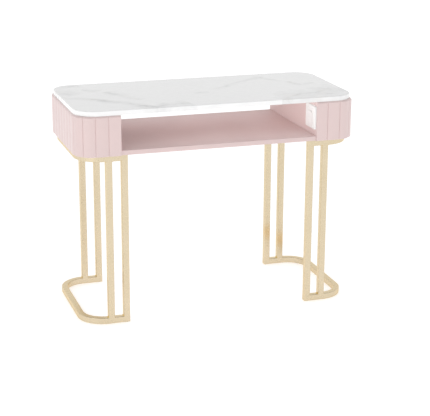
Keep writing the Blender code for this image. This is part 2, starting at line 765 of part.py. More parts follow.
def make_outlet(panel, bottom_board):
    screw_axes = outlet_screw_axes()
    opening = BACK_BOX_SIZE + 2 * GAP
    panel_far = CUBBY_HALF_WIDTH + PANEL_THICKNESS
    cutout = wall_block("back_box_cutout", opening, opening, CUBBY_HALF_WIDTH - OVERRUN, panel_far + OVERRUN)
    cut(panel, cutout, rods_solid("outlet_screw_holes", screw_axes, OUTLET_SCREW_RADIUS + GAP))
    make_bezel()
    make_socket(screw_axes)
    make_outlet_screws()
    make_back_box()
    make_lead()
    make_gland(bottom_board)


# --- The table ------------------------------------------------------------------------------------


clear_scene()
PARTS = new_collection("manicure_table")
CUTTERS = new_collection("cutters")

MARBLE = new_material("white_marble", (0.80, 0.80, 0.79), 0.20)
PINK = new_material("pink_lacquer", (0.80, 0.62, 0.60), 0.45)
RAW_WOOD = new_material("raw_board", (0.55, 0.42, 0.29), 0.80)
GOLD = new_material("champagne_gold", (0.83, 0.68, 0.44), 0.32, metallic=1.0)
STEEL = new_material("zinc_steel", (0.62, 0.62, 0.60), 0.35, metallic=1.0)
NYLON = new_material("glide_nylon", (0.70, 0.69, 0.66), 0.55)
WHITE_PLASTIC = new_material("white_plastic", (0.86, 0.86, 0.85), 0.30)
GREY_PLASTIC = new_material("grey_plastic", (0.45, 0.46, 0.47), 0.60)
BLACK_PLASTIC = new_material("black_plastic", (0.04, 0.04, 0.04), 0.50)


def build_table():
    dowel_axes = [dowel_ends(side, end, GAP) for _, side in SIDES for _, end in ENDS]
    dowel_holes = rods_solid("dowel_holes", dowel_axes, DOWEL_RADIUS + GAP)
    make_tabletop()
    make_shelf(dowel_holes)
    make_dowels()
    for side_name, side in SIDES:
        make_skin(side_name, side)
        screw_holes = tab_screw_holes(side_name, side)
        panel, bottom_board = make_box(side_name, side, dowel_holes, screw_holes)
        make_tabs(side_name, side)
        top_vents = (TOP_BAR_LOW - OVERRUN, TOP_BAR_LOW + 2 * TUBE_WALL)
        make_bar(f"{side_name}_top_bar", side, TOP_BAR_LOW, top_vents)
        floor_vents = (FLOOR_BAR_HIGH - 2 * TUBE_WALL, FLOOR_BAR_HIGH + OVERRUN)
        floor_bar = make_bar(f"{side_name}_floor_bar", side, FLOOR_BAR_LOW, floor_vents)
        make_legs(side_name, side)
        make_glides(side_name, side, floor_bar)
    make_outlet(panel, bottom_board)


build_table()
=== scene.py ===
"""The looks of the manicure table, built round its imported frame.

Metres, +Z up, in the frame's own axes: the open front faces -Y and the outlet is at the +X end.
"""

import json
import math

import bmesh
import bpy
from mathutils import Matrix, Quaternion, Vector


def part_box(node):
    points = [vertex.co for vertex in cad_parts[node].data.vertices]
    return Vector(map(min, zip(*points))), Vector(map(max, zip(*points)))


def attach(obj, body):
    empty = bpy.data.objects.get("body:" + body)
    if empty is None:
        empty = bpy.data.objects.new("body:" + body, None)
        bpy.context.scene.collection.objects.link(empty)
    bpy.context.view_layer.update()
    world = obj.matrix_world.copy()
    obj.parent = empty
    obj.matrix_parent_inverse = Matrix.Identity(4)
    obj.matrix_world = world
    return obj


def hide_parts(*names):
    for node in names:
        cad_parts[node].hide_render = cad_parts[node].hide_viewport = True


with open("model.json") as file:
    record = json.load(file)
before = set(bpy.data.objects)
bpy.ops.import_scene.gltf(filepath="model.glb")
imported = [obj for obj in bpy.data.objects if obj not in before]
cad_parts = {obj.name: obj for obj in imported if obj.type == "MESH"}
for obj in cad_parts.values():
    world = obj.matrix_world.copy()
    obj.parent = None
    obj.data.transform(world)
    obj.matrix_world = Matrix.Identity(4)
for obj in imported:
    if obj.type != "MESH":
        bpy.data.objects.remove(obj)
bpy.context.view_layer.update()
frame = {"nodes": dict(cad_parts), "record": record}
nodes = frame["nodes"]

SIDES = (("left", -1), ("right", 1))
ENDS = ("front", "rear")

# Sizes that the frame gives
TOP_LOW, TOP_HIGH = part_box("tabletop")
SHELF_LOW, SHELF_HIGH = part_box("shelf")
SKIN_LOW, SKIN_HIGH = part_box("right_fluted_skin")
BAR_LOW, BAR_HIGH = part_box("right_top_bar")
FLOOR_LOW, FLOOR_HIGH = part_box("right_floor_bar")
BEZEL_LOW, BEZEL_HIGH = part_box("outlet_bezel")
SOCKET_LOW, SOCKET_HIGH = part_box("outlet_socket")

# Sizes that the frame's boxes don't give, as the CAD model has them
TOP_CORNER_RADIUS = 0.073
SKIN_CORNER_RADIUS = 0.070
FLUTES = 16
END_FLUTE = 0.042
FRAME_CORNER_RADIUS = 0.094
TUBE = 0.022
INSERT_SIZE = 0.0614

# Finer shape that only this model has: the slab and the shelf
TOP_EDGE_ROUND = 0.0026
UNDER_EDGE_ROUND = 0.0003
BOARD_EDGE_ROUND = 0.0012

# The fluted skins. Their upper edge slopes in to the slab; a roundness of 1 makes it a quarter
# round, and 0 a flat bevel.
SKIN_THICKNESS = 0.0092
SKIN_TOP_GAP = 0.0001
SKIN_TOP_DROP = 0.0055
SKIN_TOP_ROUNDNESS = 0.4
SKIN_BOTTOM_ROUND = 0.0022
SKIN_END_ROUND = 0.0010
FLUTE_CROWN = 0.0024
FLUTE_STEPS = 12
GROOVE_DEPTH = 0.0016
GROOVE_HALF_WIDTH = 0.0020
GROOVE_SHARPNESS = 1.2
GROOVE_STEPS = (0.0, 0.25, 0.6, 1.0)

# The tubes and their welds. A weld ripples along its length in even waves, so many of them, and
# in a longer one, in radians, which WELD_SHIFT starts elsewhere at each leg.
TUBE_EDGE_ROUND = 0.0022
BAR_END_STEP = 0.00015
BAR_END_ROUND = 0.0006
BAR_BEND_STEPS = 24
WELD_SIZE = 0.0022
WELD_SINK = 0.0004
WELD_END_GAP = 0.0010
WELD_HOLLOW = 0.32
WELD_STEPS = 28
WELD_RIPPLE, WELD_RIPPLES = 0.10, 9
WELD_DRIFT, WELD_DRIFT_LENGTH = 0.06, 17
WELD_SHIFT = 40

# The outlet
COVER_ROUND = 0.0050
COVER_STEP = 0.0003
INSERT_ROUND = 0.0012
INSERT_CORNER = 0.0024
STRAP_WALL_GAP = 0.0002
STRAP_THICKNESS = 0.0018
STRAP_HALF_WIDTH = 0.0200
STRAP_EDGE_ROUND = 0.0003
SOCKET_BODY_HALF = 0.0230
SOCKET_BODY_OVERLAP = 0.0010
SOCKET_BODY_EDGE_ROUND = 0.0010
SOCKET_CORNER = 0.0030

# Plug holes: y and z from the outlet's middle, width, height, and slant in degrees
PIN_HOLES = (
    (-0.0130, 0.0190, 0.0080, 0.0068, 0),
    (0.0080, 0.0190, 0.0080, 0.0068, 0),
    (-0.0070, -0.0080, 0.0018, 0.0072, 30),
    (0.0070, -0.0080, 0.0018, 0.0072, -30),
    (0.0, -0.0195, 0.0018, 0.0075, 0),
)

# How a plug hole goes in: depth behind the face, and how much wider than the hole it is there
HOLE_PROFILE = ((-0.0010, 0.0011), (0.0003, 0.0002), (0.0008, 0.0), (0.0120, 0.0))
HOLE_ROUNDNESS = 0.98


# --- Camera, floor and light ----------------------------------------------------------------------

SENSOR_WIDTH = 36.0
LENS = 108.130
CAMERA_PLACE = (-1.36470, -4.31648, 1.70195)
YAW, PITCH, ROLL = 0.31783, -0.29546, 0.00513

# The surroundings are brightest up to HORIZON, the sine of a height above the horizon, and fade
# evenly from there to straight overhead
HORIZON = 0.25
HORIZON_STRENGTH = 1.12
OVERHEAD_STRENGTH = 0.40

FLOOR_SIZE = 20.0
FLOOR_COLOUR = (0.86, 0.86, 0.86, 1.0)
FLOOR_GLOW = 0.50

KEY_PLACE = (-3.9, -2.8, 1.2)
KEY_TARGET = (0, 0, 0.65)
KEY_SIZE = (2.0, 1.6)
KEY_POWER = 17

# Soft light on the shelf from just under the slab: x, distance behind the middle, size, power and
# colour
FILL_DROP = 0.002
FILLS = {
    "middle_fill": (0.03, 0.0, (0.62, 0.30), 0.058, (1.0, 0.50, 0.44)),
    "front_fill": (0.035, -0.19, (0.63, 0.05), 0.054, (0.96, 0.98, 0.98)),
    "rear_fill": (-0.03, 0.19, (0.62, 0.05), 0.052, (1.0, 0.98, 0.98)),
}

# A thin strip under the slab that lights the cubby's right wall. It is at x, a distance behind the
# middle and a height over the slab's underside, and faces such a place on the wall.
WALL_FILL_FROM = (-0.02, -0.03, -0.006)
WALL_FILL_TO = (-0.06, -0.045)
WALL_FILL_SIZE = (0.42, 0.006)
WALL_FILL_POWER = 0.09
WALL_FILL_COLOUR = (0.90, 0.94, 0.93)
WALL_FILL_SPREAD = 60


def make_camera():
    data = bpy.data.cameras.new("photo_camera")
    data.sensor_width = SENSOR_WIDTH
    data.lens = LENS
    camera = bpy.data.objects.new("photo_camera", data)
    bpy.context.scene.collection.objects.link(camera)
    level = Vector((math.sin(YAW), math.cos(YAW), 0.0))
    look = level * math.cos(PITCH) + Vector((0.0, 0.0, math.sin(PITCH)))
    camera.location = CAMERA_PLACE
    camera.rotation_mode = "QUATERNION"
    camera.rotation_quaternion = look.to_track_quat("-Z", "Y") @ Quaternion((0, 0, 1), ROLL)
    bpy.context.scene.camera = camera


def area_light(name, place, target, size, power):
    data = bpy.data.lights.new(name, "AREA")
    data.shape = "RECTANGLE"
    data.size, data.size_y = size
    data.energy = power
    light = bpy.data.objects.new(name, data)
    light.location = place
    light.rotation_mode = "QUATERNION"
    light.rotation_quaternion = (Vector(target) - Vector(place)).to_track_quat("-Z", "Y")
    bpy.context.scene.collection.objects.link(light)
    return light


def fill_light(name, place, target, size, power, colour):
    """An area light that neither the camera nor a reflection shows."""
    light = area_light(name, place, target, size, power)
    light.data.color = colour
    light.visible_camera = False
    light.visible_glossy = False
    return light


def make_surroundings():
    world = bpy.data.worlds.new("studio")
    bpy.context.scene.world = world
    world.use_nodes = True
    tree = world.node_tree
    background = tree.nodes["Background"]
    place = tree.nodes.new("ShaderNodeTexCoord")
    split = tree.nodes.new("ShaderNodeSeparateXYZ")
    ramp = tree.nodes.new("ShaderNodeMapRange")
    tree.links.new(place.outputs["Generated"], split.inputs[0])
    tree.links.new(split.outputs["Z"], ramp.inputs["Value"])
    ramp.inputs["From Min"].default_value = HORIZON
    ramp.inputs["From Max"].default_value = 1.0
    ramp.inputs["To Min"].default_value = HORIZON_STRENGTH
    ramp.inputs["To Max"].default_value = OVERHEAD_STRENGTH
    tree.links.new(ramp.outputs["Result"], background.inputs["Strength"])
    background.inputs["Color"].default_value = (1.0, 1.0, 1.0, 1.0)


def make_floor():
    mesh = bpy.data.meshes.new("floor")
    shape = bmesh.new()
    bmesh.ops.create_grid(shape, x_segments=1, y_segments=1, size=FLOOR_SIZE)
    shape.to_mesh(mesh)
    shape.free()
    floor = bpy.data.objects.new("floor", mesh)
    bpy.context.scene.collection.objects.link(floor)
    paint = bpy.data.materials.new("pale_floor")
    paint.use_nodes = True
    shader = paint.node_tree.nodes["Principled BSDF"]
    shader.inputs["Base Color"].default_value = FLOOR_COLOUR
    shader.inputs["Roughness"].default_value = 0.9
    shader.inputs["Specular IOR Level"].default_value = 0.0
    shader.inputs["Emission Color"].default_value = (1.0, 1.0, 1.0, 1.0)
    shader.inputs["Emission Strength"].default_value = FLOOR_GLOW
    mesh.materials.append(paint)


def make_lights():
    area_light("key", KEY_PLACE, KEY_TARGET, KEY_SIZE, KEY_POWER)
    middle_y = (SHELF_LOW.y + SHELF_HIGH.y) / 2
    for name, (x, behind, size, power, colour) in FILLS.items():
        place = (x, middle_y + behind, TOP_LOW.z - FILL_DROP)
        below = (x, middle_y + behind, 0.0)
        fill_light(name, place, below, size, power, colour)
    x, behind, above = WALL_FILL_FROM
    place = (x, middle_y + behind, TOP_LOW.z + above)
    behind, above = WALL_FILL_TO
    target = (SHELF_HIGH.x, middle_y + behind, TOP_LOW.z + above)
    strip = fill_light("wall_fill", place, target, WALL_FILL_SIZE, WALL_FILL_POWER, WALL_FILL_COLOUR)
    strip.data.spread = math.radians(WALL_FILL_SPREAD)


def make_studio():
    make_surroundings()
    make_floor()
    make_lights()
    view = bpy.context.scene.view_settings
    view.view_transform = "Standard"
    view.look = "None"


# --- Materials ------------------------------------------------------------------------------------


class Paint:
    """A Principled material whose colour, roughness and bump come from noise in the frame's metres."""

    def __init__(self, name, roughness, metallic=0.0):
        self.material = bpy.data.materials.new(name)
        self.material.use_nodes = True
        self.tree = self.material.node_tree
        self.shader = self.tree.nodes["Principled BSDF"]
        self.set("Roughness", roughness)
        self.set("Metallic", metallic)
        self.place = self.tree.nodes.new("ShaderNodeTexCoord").outputs["Object"]

    def set(self, socket, value):
        self.shader.inputs[socket].default_value = value

    def link(self, output, target):
        self.tree.links.new(output, target)

    def node(self, kind, inputs=(), **settings):
        made = self.tree.nodes.new(kind)
        for key, value in settings.items():
            setattr(made, key, value)
        for key, value in dict(inputs).items():
            if isinstance(value, bpy.types.NodeSocket):
                self.link(value, made.inputs[key])
            else:
                made.inputs[key].default_value = value
        return made

    def stretched(self, scale):
        return self.node("ShaderNodeMapping", {"Vector": self.place, "Scale": scale}).outputs[0]

    def noise(self, scale, detail=3.0, roughness=0.5, vector=None):
        inputs = {"Vector": vector or self.place, "Scale": scale, "Detail": detail, "Roughness": roughness}
        return self.node("ShaderNodeTexNoise", inputs).outputs["Fac"]

    def ranged(self, value, low, high, to_low=0.0, to_high=1.0):
        inputs = {"Value": value, "From Min": low, "From Max": high, "To Min": to_low, "To Max": to_high}
        return self.node("ShaderNodeMapRange", inputs).outputs["Result"]

    def math(self, operation, first, second=0.0):
        made = self.node("ShaderNodeMath", {0: first, 1: second}, operation=operation)
        return made.outputs[0]

    def mixed(self, factor, first, second):
        """A colour between two colours or colour outputs."""
        made = self.node("ShaderNodeMix", data_type="RGBA")
        for key, value in (("Factor_Float", factor), ("A_Color", first), ("B_Color", second)):
            socket = next(each for each in made.inputs if each.identifier == key)
            if isinstance(value, bpy.types.NodeSocket):
                self.link(value, socket)
            else:
                socket.default_value = value if key == "Factor_Float" else (*value, 1.0)
        return next(each for each in made.outputs if each.identifier == "Result_Color")

    def distance(self, point):
        inputs = {0: self.place, 1: point}
        return self.node("ShaderNodeVectorMath", inputs, operation="DISTANCE").outputs["Value"]

    def colour(self, output):
        self.link(output, self.shader.inputs["Base Color"])

    def gloss(self, scale, detail, low, high):
        """Roughness that drifts between two values."""
        drift = self.ranged(self.noise(scale, detail), 0.3, 0.7, low, high)
        self.link(drift, self.shader.inputs["Roughness"])

    def bump(self, height, distance, strength=1.0):
        inputs = {"Height": height, "Distance": distance, "Strength": strength}
        self.link(self.node("ShaderNodeBump", inputs).outputs[0], self.shader.inputs["Normal"])


def vein(paint, start, end, width, strength, bends, fades):
    """How strongly one marble vein shows: a core in a softer halo, bent and faded along its length.

    bends are (part of the length, metres to its left); fades are (part of the length, 0 to 1).
    """
    run = Vector(end) - Vector(start)
    length = run.length
    inputs = {
        "Vector": paint.place,
        "Location": (*start, 0.0),
        "Rotation": (0.0, 0.0, math.atan2(run.y, run.x)),
        "Scale": (length, length, 1.0),
    }
    local = paint.node("ShaderNodeMapping", inputs, vector_type="TEXTURE")
    split = paint.node("ShaderNodeSeparateXYZ", {0: local.outputs[0]})
    along, across = split.outputs["X"], split.outputs["Y"]

    bend = paint.node("ShaderNodeFloatCurve", {"Value": along})
    bend.mapping.clip_min_y = -2.0
    bend.mapping.use_clip = False
    place_points(bend.mapping, [(part, 0.5 + offset / length) for part, offset in bends])
    middle = paint.math("SUBTRACT", bend.outputs[0], 0.5)
    stray = VEIN_WANDER / length
    wander = paint.ranged(paint.noise(42.0, 5.0, 0.66), 0.2, 0.8, -stray, stray)
    away = paint.math("ABSOLUTE", paint.math("ADD", paint.math("SUBTRACT", across, middle), wander))
    breadth = paint.ranged(paint.noise(17.0, 2.0), 0.3, 0.7, 0.5 * width / length, 1.5 * width / length)
    ratio = paint.math("DIVIDE", away, breadth)

    patches = paint.noise(24.0, 3.0, 0.6)
    halo = paint.math("POWER", paint.ranged(ratio, 0.0, 1.0, 0.78, 0.0), 1.2)
    line = paint.ranged(ratio, 0.04, 0.34, 1.0, 0.0)
    core = paint.math("MULTIPLY", line, paint.ranged(patches, 0.35, 0.6, 0.55, 1.0))
    broken = paint.ranged(patches, 0.3, 0.65, 0.6, 1.15)
    near = paint.math("MULTIPLY", paint.math("MAXIMUM", halo, core), broken)

    fade = paint.node("ShaderNodeFloatCurve", {"Value": along})
    place_points(fade.mapping, fades)
    begun = paint.math("GREATER_THAN", along, 0.0)
    inside = paint.math("MULTIPLY", begun, paint.math("LESS_THAN", along, 1.0))
    shown = paint.math("MULTIPLY", near, fade.outputs[0])
    return paint.math("MULTIPLY", paint.math("MULTIPLY", shown, inside), strength)


def place_points(mapping, points):
    """Gives a node's curve these points; a new curve has two."""
    curve = mapping.curves[0]
    while len(curve.points) < len(points):
        curve.points.new(0.5, 0.5)
    for point, place in zip(curve.points, points):
        point.location = place
    mapping.update()


def marble():
    paint = Paint("white_marble", 0.16)
    paint.set("Specular IOR Level", 0.45)
    veins = None
    for line in VEINS:
        shown = vein(paint, *line)
        veins = shown if veins is None else paint.math("MAXIMUM", veins, shown)
    cloud = paint.ranged(paint.noise(5.0, 5.0, 0.6), 0.42, 0.75)
    ground = paint.mixed(cloud, (0.925, 0.925, 0.923), (0.905, 0.906, 0.908))
    warm = paint.ranged(paint.noise(14.0, 2.0), 0.5, 0.7)
    grey = paint.mixed(warm, (0.545, 0.55, 0.555), (0.60, 0.575, 0.535))
    paint.colour(paint.mixed(veins, ground, grey))
    paint.gloss(60.0, 3.0, 0.13, 0.22)
    return paint.material


# How far a vein's line strays from its course
VEIN_WANDER = 0.007

# Marble veins: start, end, half width, strength, bends to the left, and fading along the length
VEINS = (
    # The long vein from the left end to the front edge, and the soft band that it runs into
    ((-0.505, 0.025), (-0.215, -0.225), 0.034, 0.95,
     ((0.0, 0.0), (0.12, 0.003), (0.29, 0.020), (0.50, 0.010), (0.62, 0.017), (0.85, -0.002), (1.0, 0.0)),
     ((0.0, 0.3), (0.25, 0.45), (0.36, 1.0), (0.50, 0.85), (0.62, 0.55), (0.85, 0.9), (0.96, 1.0),
      (1.0, 0.2))),
    ((-0.225, -0.220), (-0.095, -0.185), 0.050, 0.72,
     ((0.0, 0.0), (0.38, 0.010), (0.66, 0.0), (1.0, 0.0)),
     ((0.0, 0.5), (0.35, 1.0), (0.60, 0.7), (0.85, 1.0), (1.0, 0.0))),
    # The shorter one behind it
    ((-0.335, 0.075), (-0.238, -0.092), 0.034, 0.75,
     ((0.0, 0.0), (0.33, -0.003), (0.56, -0.005), (0.81, -0.008), (1.0, 0.0)),
     ((0.0, 0.0), (0.15, 1.0), (0.35, 0.8), (0.60, 0.45), (0.90, 0.4), (1.0, 0.0))),
    # Smudges in the rear left corner
    ((-0.495, 0.165), (-0.398, 0.212), 0.042, 0.55,
     ((0.0, 0.0), (0.5, 0.006), (1.0, 0.0)), ((0.0, 0.0), (0.3, 0.5), (0.6, 1.0), (0.85, 0.9), (1.0, 0.0))),
    ((-0.405, 0.138), (-0.338, 0.102), 0.035, 0.42,
     ((0.0, 0.0), (0.5, -0.020), (1.0, 0.0)), ((0.0, 0.0), (0.5, 1.0), (1.0, 0.0))),
    ((-0.510, 0.140), (-0.440, 0.040), 0.085, 0.42,
     ((0.0, 0.0), (0.5, -0.008), (1.0, 0.0)), ((0.0, 0.6), (0.5, 1.0), (1.0, 0.0))),
    # The fine one across the middle, up to the rear edge and back down
    ((-0.040, -0.039), (0.022, -0.033), 0.030, 0.34,
     ((0.0, 0.0), (0.5, 0.002), (1.0, 0.0)), ((0.0, 0.0), (0.5, 1.0), (1.0, 0.0))),
    ((0.042, 0.002), (0.290, 0.172), 0.024, 0.48,
     ((0.0, 0.0), (0.17, -0.003), (0.51, 0.007), (0.73, 0.003), (1.0, 0.0)),
     ((0.0, 0.2), (0.20, 0.7), (0.30, 0.9), (0.42, 0.45), (0.62, 0.6), (0.85, 0.9), (1.0, 1.0))),
    ((0.283, 0.174), (0.338, 0.046), 0.024, 0.52,
     ((0.0, 0.0), (0.27, -0.005), (0.53, 0.004), (1.0, 0.0)),
     ((0.0, 1.0), (0.2, 0.9), (0.5, 0.6), (1.0, 0.0))),
    # Two short ones near the right end
    ((0.356, 0.072), (0.382, -0.016), 0.026, 0.50,
     ((0.0, 0.0), (0.5, -0.003), (1.0, 0.0)), ((0.0, 0.0), (0.4, 1.0), (1.0, 0.2))),
    ((0.390, -0.005), (0.446, 0.019), 0.026, 0.30,
     ((0.0, 0.0), (0.5, 0.002), (1.0, 0.0)), ((0.0, 0.0), (0.5, 1.0), (1.0, 0.0))),
    # The broad one at the front right, with its branches and the cloud round them
    ((0.222, -0.232), (0.445, -0.098), 0.064, 0.70,
     ((0.0, 0.0), (0.24, 0.009), (0.47, 0.015), (0.64, -0.007), (0.78, -0.013), (1.0, 0.0)),
     ((0.0, 0.0), (0.07, 0.7), (0.50, 0.9), (0.80, 1.0), (1.0, 1.0))),
    ((0.440, -0.100), (0.508, -0.148), 0.064, 0.70,
     ((0.0, 0.0), (0.38, -0.027), (0.74, -0.030), (1.0, 0.0)), ((0.0, 1.0), (0.5, 0.8), (1.0, 0.6))),
    ((0.345, -0.207), (0.465, -0.196), 0.050, 0.50,
     ((0.0, 0.0), (0.55, 0.015), (1.0, 0.0)), ((0.0, 0.0), (0.5, 1.0), (1.0, 0.0))),
    ((0.245, -0.215), (0.510, -0.130), 0.120, 0.50,
     ((0.0, 0.0), (0.5, 0.004), (1.0, 0.0)), ((0.0, 0.6), (0.5, 1.0), (1.0, 0.8))),
    # The grey patch where it reaches the front edge
    ((0.228, -0.234), (0.270, -0.226), 0.014, 0.50,
     ((0.0, 0.0), (0.5, 0.0), (1.0, 0.0)), ((0.0, 0.0), (0.5, 1.0), (1.0, 0.0))),
)


def lacquer(name, specular, smooth, rough):
    """Pink lacquer whose roughness drifts between smooth and rough."""
    paint = Paint(name, rough)
    paint.set("Specular IOR Level", specular)
    drift = paint.ranged(paint.noise(7.0, 4.0, 0.55), 0.35, 0.65)
    ground = paint.mixed(drift, (0.735, 0.585, 0.572), (0.715, 0.572, 0.562))
    speck = paint.ranged(paint.noise(900.0, 1.0), 0.62, 0.72)
    paint.colour(paint.mixed(speck, ground, (0.70, 0.545, 0.535)))
    paint.gloss(35.0, 3.0, smooth, rough)
    paint.bump(paint.noise(420.0, 2.0), 0.00006, 0.5)
    return paint.material


# Two places on the rear legs where the gold is mixed toward a darker, deeper amber, and the distances from
# them where that mix starts and ends
AMBER_SPOTS = ((0.340, 0.200, 0.137), (0.394, 0.200, 0.102))
TINT_RADII = (0.010, 0.042)
TINT_STRENGTH = 0.5


def gold():
    paint = Paint("champagne_gold", 0.34, metallic=1.0)
    paint.set("Specular Tint", (1.0, 0.91, 0.75, 1.0))
    drift = paint.ranged(paint.noise(9.0, 3.0, 0.5), 0.3, 0.7)
    ground = paint.mixed(drift, (0.705, 0.605, 0.440), (0.670, 0.570, 0.400))
    fleck = paint.ranged(paint.noise(1400.0, 1.0), 0.58, 0.70)
    plated = paint.mixed(fleck, ground, (0.72, 0.615, 0.45))
    # The gold turns darker amber round two spots on the rear legs, strongest at their centres
    tints = [paint.ranged(paint.distance(place), *TINT_RADII, TINT_STRENGTH, 0.0) for place in AMBER_SPOTS]
    paint.colour(paint.mixed(paint.math("MAXIMUM", *tints), plated, (0.72, 0.50, 0.24)))
    paint.gloss(120.0, 3.0, 0.25, 0.33)
    paint.bump(paint.noise(700.0, 2.0), 0.00002, 0.45)
    return paint.material


def weld_gold():
    paint = Paint("weld_gold", 0.42, metallic=1.0)
    tone = paint.ranged(paint.noise(500.0, 3.0), 0.3, 0.7)
    paint.colour(paint.mixed(tone, (0.86, 0.62, 0.20), (0.74, 0.52, 0.17)))
    paint.bump(paint.noise(900.0, 2.0), 0.0001, 0.5)
    return paint.material


def raw_board():
    paint = Paint("raw_board", 0.85)
    grain = paint.noise(60.0, 4.0, 0.6, paint.stretched((1.0, 9.0, 9.0)))
    ground = paint.mixed(paint.ranged(grain, 0.3, 0.7), (0.60, 0.46, 0.32), (0.49, 0.36, 0.24))
    chips = paint.ranged(paint.noise(320.0, 2.0), 0.55, 0.7)
    paint.colour(paint.mixed(chips, ground, (0.40, 0.29, 0.19)))
    paint.bump(paint.noise(500.0, 3.0), 0.0002, 0.6)
    return paint.material


def plated_steel():
    paint = Paint("zinc_steel", 0.34, metallic=1.0)
    tone = paint.ranged(paint.noise(240.0, 3.0), 0.3, 0.7)
    paint.colour(paint.mixed(tone, (0.64, 0.64, 0.62), (0.54, 0.55, 0.55)))
    paint.gloss(600.0, 2.0, 0.28, 0.42)
    return paint.material


def plastic(name, light, dark, roughness, grain):
    """Moulded plastic: a faint drift of tone and a fine moulded grain, deeper where grain is larger."""
    paint = Paint(name, roughness)
    paint.colour(paint.mixed(paint.ranged(paint.noise(30.0, 3.0), 0.3, 0.7), light, dark))
    paint.gloss(150.0, 2.0, 0.88 * roughness, 1.12 * roughness)
    paint.bump(paint.noise(900.0, 2.0), grain, 0.5)
    return paint.material


# --- Mesh tools -----------------------------------------------------------------------------------


def add_piece(name, shape, material, slot, *replaced):
    """Turns a bmesh into a smooth piece on the table's one body, standing for the CAD nodes given."""
    bmesh.ops.recalc_face_normals(shape, faces=shape.faces)
    mesh = bpy.data.meshes.new(name)
    shape.to_mesh(mesh)
    shape.free()
    mesh.shade_smooth()
    mesh.set_sharp_from_angle(angle=math.radians(38))
    mesh.materials.append(material)
    piece = bpy.data.objects.new(name, mesh)
    bpy.context.scene.collection.objects.link(piece)
    weighted = piece.modifiers.new("Flat faces stay flat", "WEIGHTED_NORMAL")
    weighted.keep_sharp = True
    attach(piece, "root")
    if replaced:
        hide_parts(*replaced)
    return piece


def add_loft(shape, rings, closed=False):
    """Joins a run of rings of as many points each, and caps its two ends unless it closes on itself."""
    made = [[shape.verts.new(point) for point in ring] for ring in rings]
    pairs = list(zip(made, made[1:]))
    if closed:
        pairs.append((made[-1], made[0]))
    for first, second in pairs:
        for index in range(len(first)):
            after = (index + 1) % len(first)
            shape.faces.new((first[index], first[after], second[after], second[index]))
    if not closed:
        shape.faces.new(made[0])
        shape.faces.new(made[-1])


def arc(centre_x, centre_y, radius, start, end, steps):
    """Points of an arc between two angles in degrees, with both its ends."""
    angles = [math.radians(start + (end - start) * step / steps) for step in range(steps + 1)]
    return [(centre_x + radius * math.cos(angle), centre_y + radius * math.sin(angle)) for angle in angles]


def rounded_rectangle(half_x, half_y, radius, steps):
    """Points round a rectangle about the origin."""
    x, y = half_x - radius, half_y - radius
    corners = ((x, -y, -90), (x, y, 0), (-x, y, 90), (-x, -y, 180))
    return [point for cx, cy, start in corners for point in arc(cx, cy, radius, start, start + 90, steps)]


def edge_profile(low, high, radius, steps, upper_radius=None):
    """(inset, height) up the rounded edge of a board; its upper edge may have its own radius."""
    upper_radius = upper_radius or radius
    lower = [(radius * (1 - math.sin(t)), low + radius * (1 - math.cos(t))) for t in quarter(steps)]
    upper = [(1 - math.sin(t), 1 - math.cos(t)) for t in reversed(quarter(steps))]
    return lower + [(upper_radius * inset, high - upper_radius * drop) for inset, drop in upper]


def quarter(steps):
    """Angles from 0 to a right angle."""
    return [math.pi / 2 * step / steps for step in range(steps + 1)]


def add_board(shape, low, high, corner, edge, corner_steps=12, edge_steps=4, upper_edge=None):
    """A flat board between two opposite corners, with round corners and rounded edges."""
    low, high = Vector(low), Vector(high)
    middle, half = (low + high) / 2, (high - low) / 2
    rings = []
    for inset, height in edge_profile(low.z, high.z, edge, edge_steps, upper_edge):
        outline = rounded_rectangle(half.x - inset, half.y - inset, max(corner - inset, 1e-5), corner_steps)
        rings.append([(middle.x + x, middle.y + y, height) for x, y in outline])
    add_loft(shape, rings)


def carved(shape, cutter):
    """What is left of one bmesh with another cut out of it."""
    items = []
    for part in (shape, cutter):
        bmesh.ops.recalc_face_normals(part, faces=part.faces)
        mesh = bpy.data.meshes.new("carving")
        part.to_mesh(mesh)
        part.free()
        item = bpy.data.objects.new("carving", mesh)
        bpy.context.scene.collection.objects.link(item)
        items.append(item)
    cut = items[0].modifiers.new("Cut", "BOOLEAN")
    cut.object = items[1]
    cut.solver = "EXACT"
    result = bmesh.new()
    result.from_object(items[0], bpy.context.evaluated_depsgraph_get())
    for item in items:
        bpy.data.objects.remove(item)
    return result


# --- Marble top and shelf -------------------------------------------------------------------------


def make_tabletop():
    shape = bmesh.new()
    add_board(shape, TOP_LOW, TOP_HIGH, TOP_CORNER_RADIUS, UNDER_EDGE_ROUND, 28, 5, TOP_EDGE_ROUND)
    add_piece("marble_top", shape, MARBLE, "marble", "tabletop")


def make_shelf():
    shape = bmesh.new()
    add_board(shape, SHELF_LOW, SHELF_HIGH, BOARD_EDGE_ROUND, BOARD_EDGE_ROUND, 3, 3)
    add_piece("painted_shelf", shape, MATT_PINK, "pink_lacquer", "shelf")


# --- Fluted skins ---------------------------------------------------------------------------------


class Wrap:
    """The C-shaped line round one box, from its front inner end to its rear one, by distance."""

    def __init__(self, side, low, high, radius):
        self.side = side
        self.inner, self.outer, self.depth = low.x, high.x, high.y
        self.radius = radius
        self.front = self.outer - radius - self.inner
        self.bend = math.pi / 2 * radius
        self.end = 2 * (self.depth - radius)
        self.length = 2 * self.front + 2 * self.bend + self.end

    def at(self, distance, offset):
        """(x, y) at a distance along the line and an offset outward from it."""
        mirrored = distance > self.length / 2
        if mirrored:
            distance = self.length - distance
        reach = self.radius + offset
        if distance <= self.front:
            x, y = self.inner + distance, -self.depth - offset
        elif distance <= self.front + self.bend:
            angle = (distance - self.front) / self.radius
            x = self.outer - self.radius + reach * math.sin(angle)
            y = -self.depth + self.radius - reach * math.cos(angle)
        else:
            x = self.outer + offset
            y = -self.depth + self.radius + distance - self.front - self.bend
        return self.side * x, -y if mirrored else y


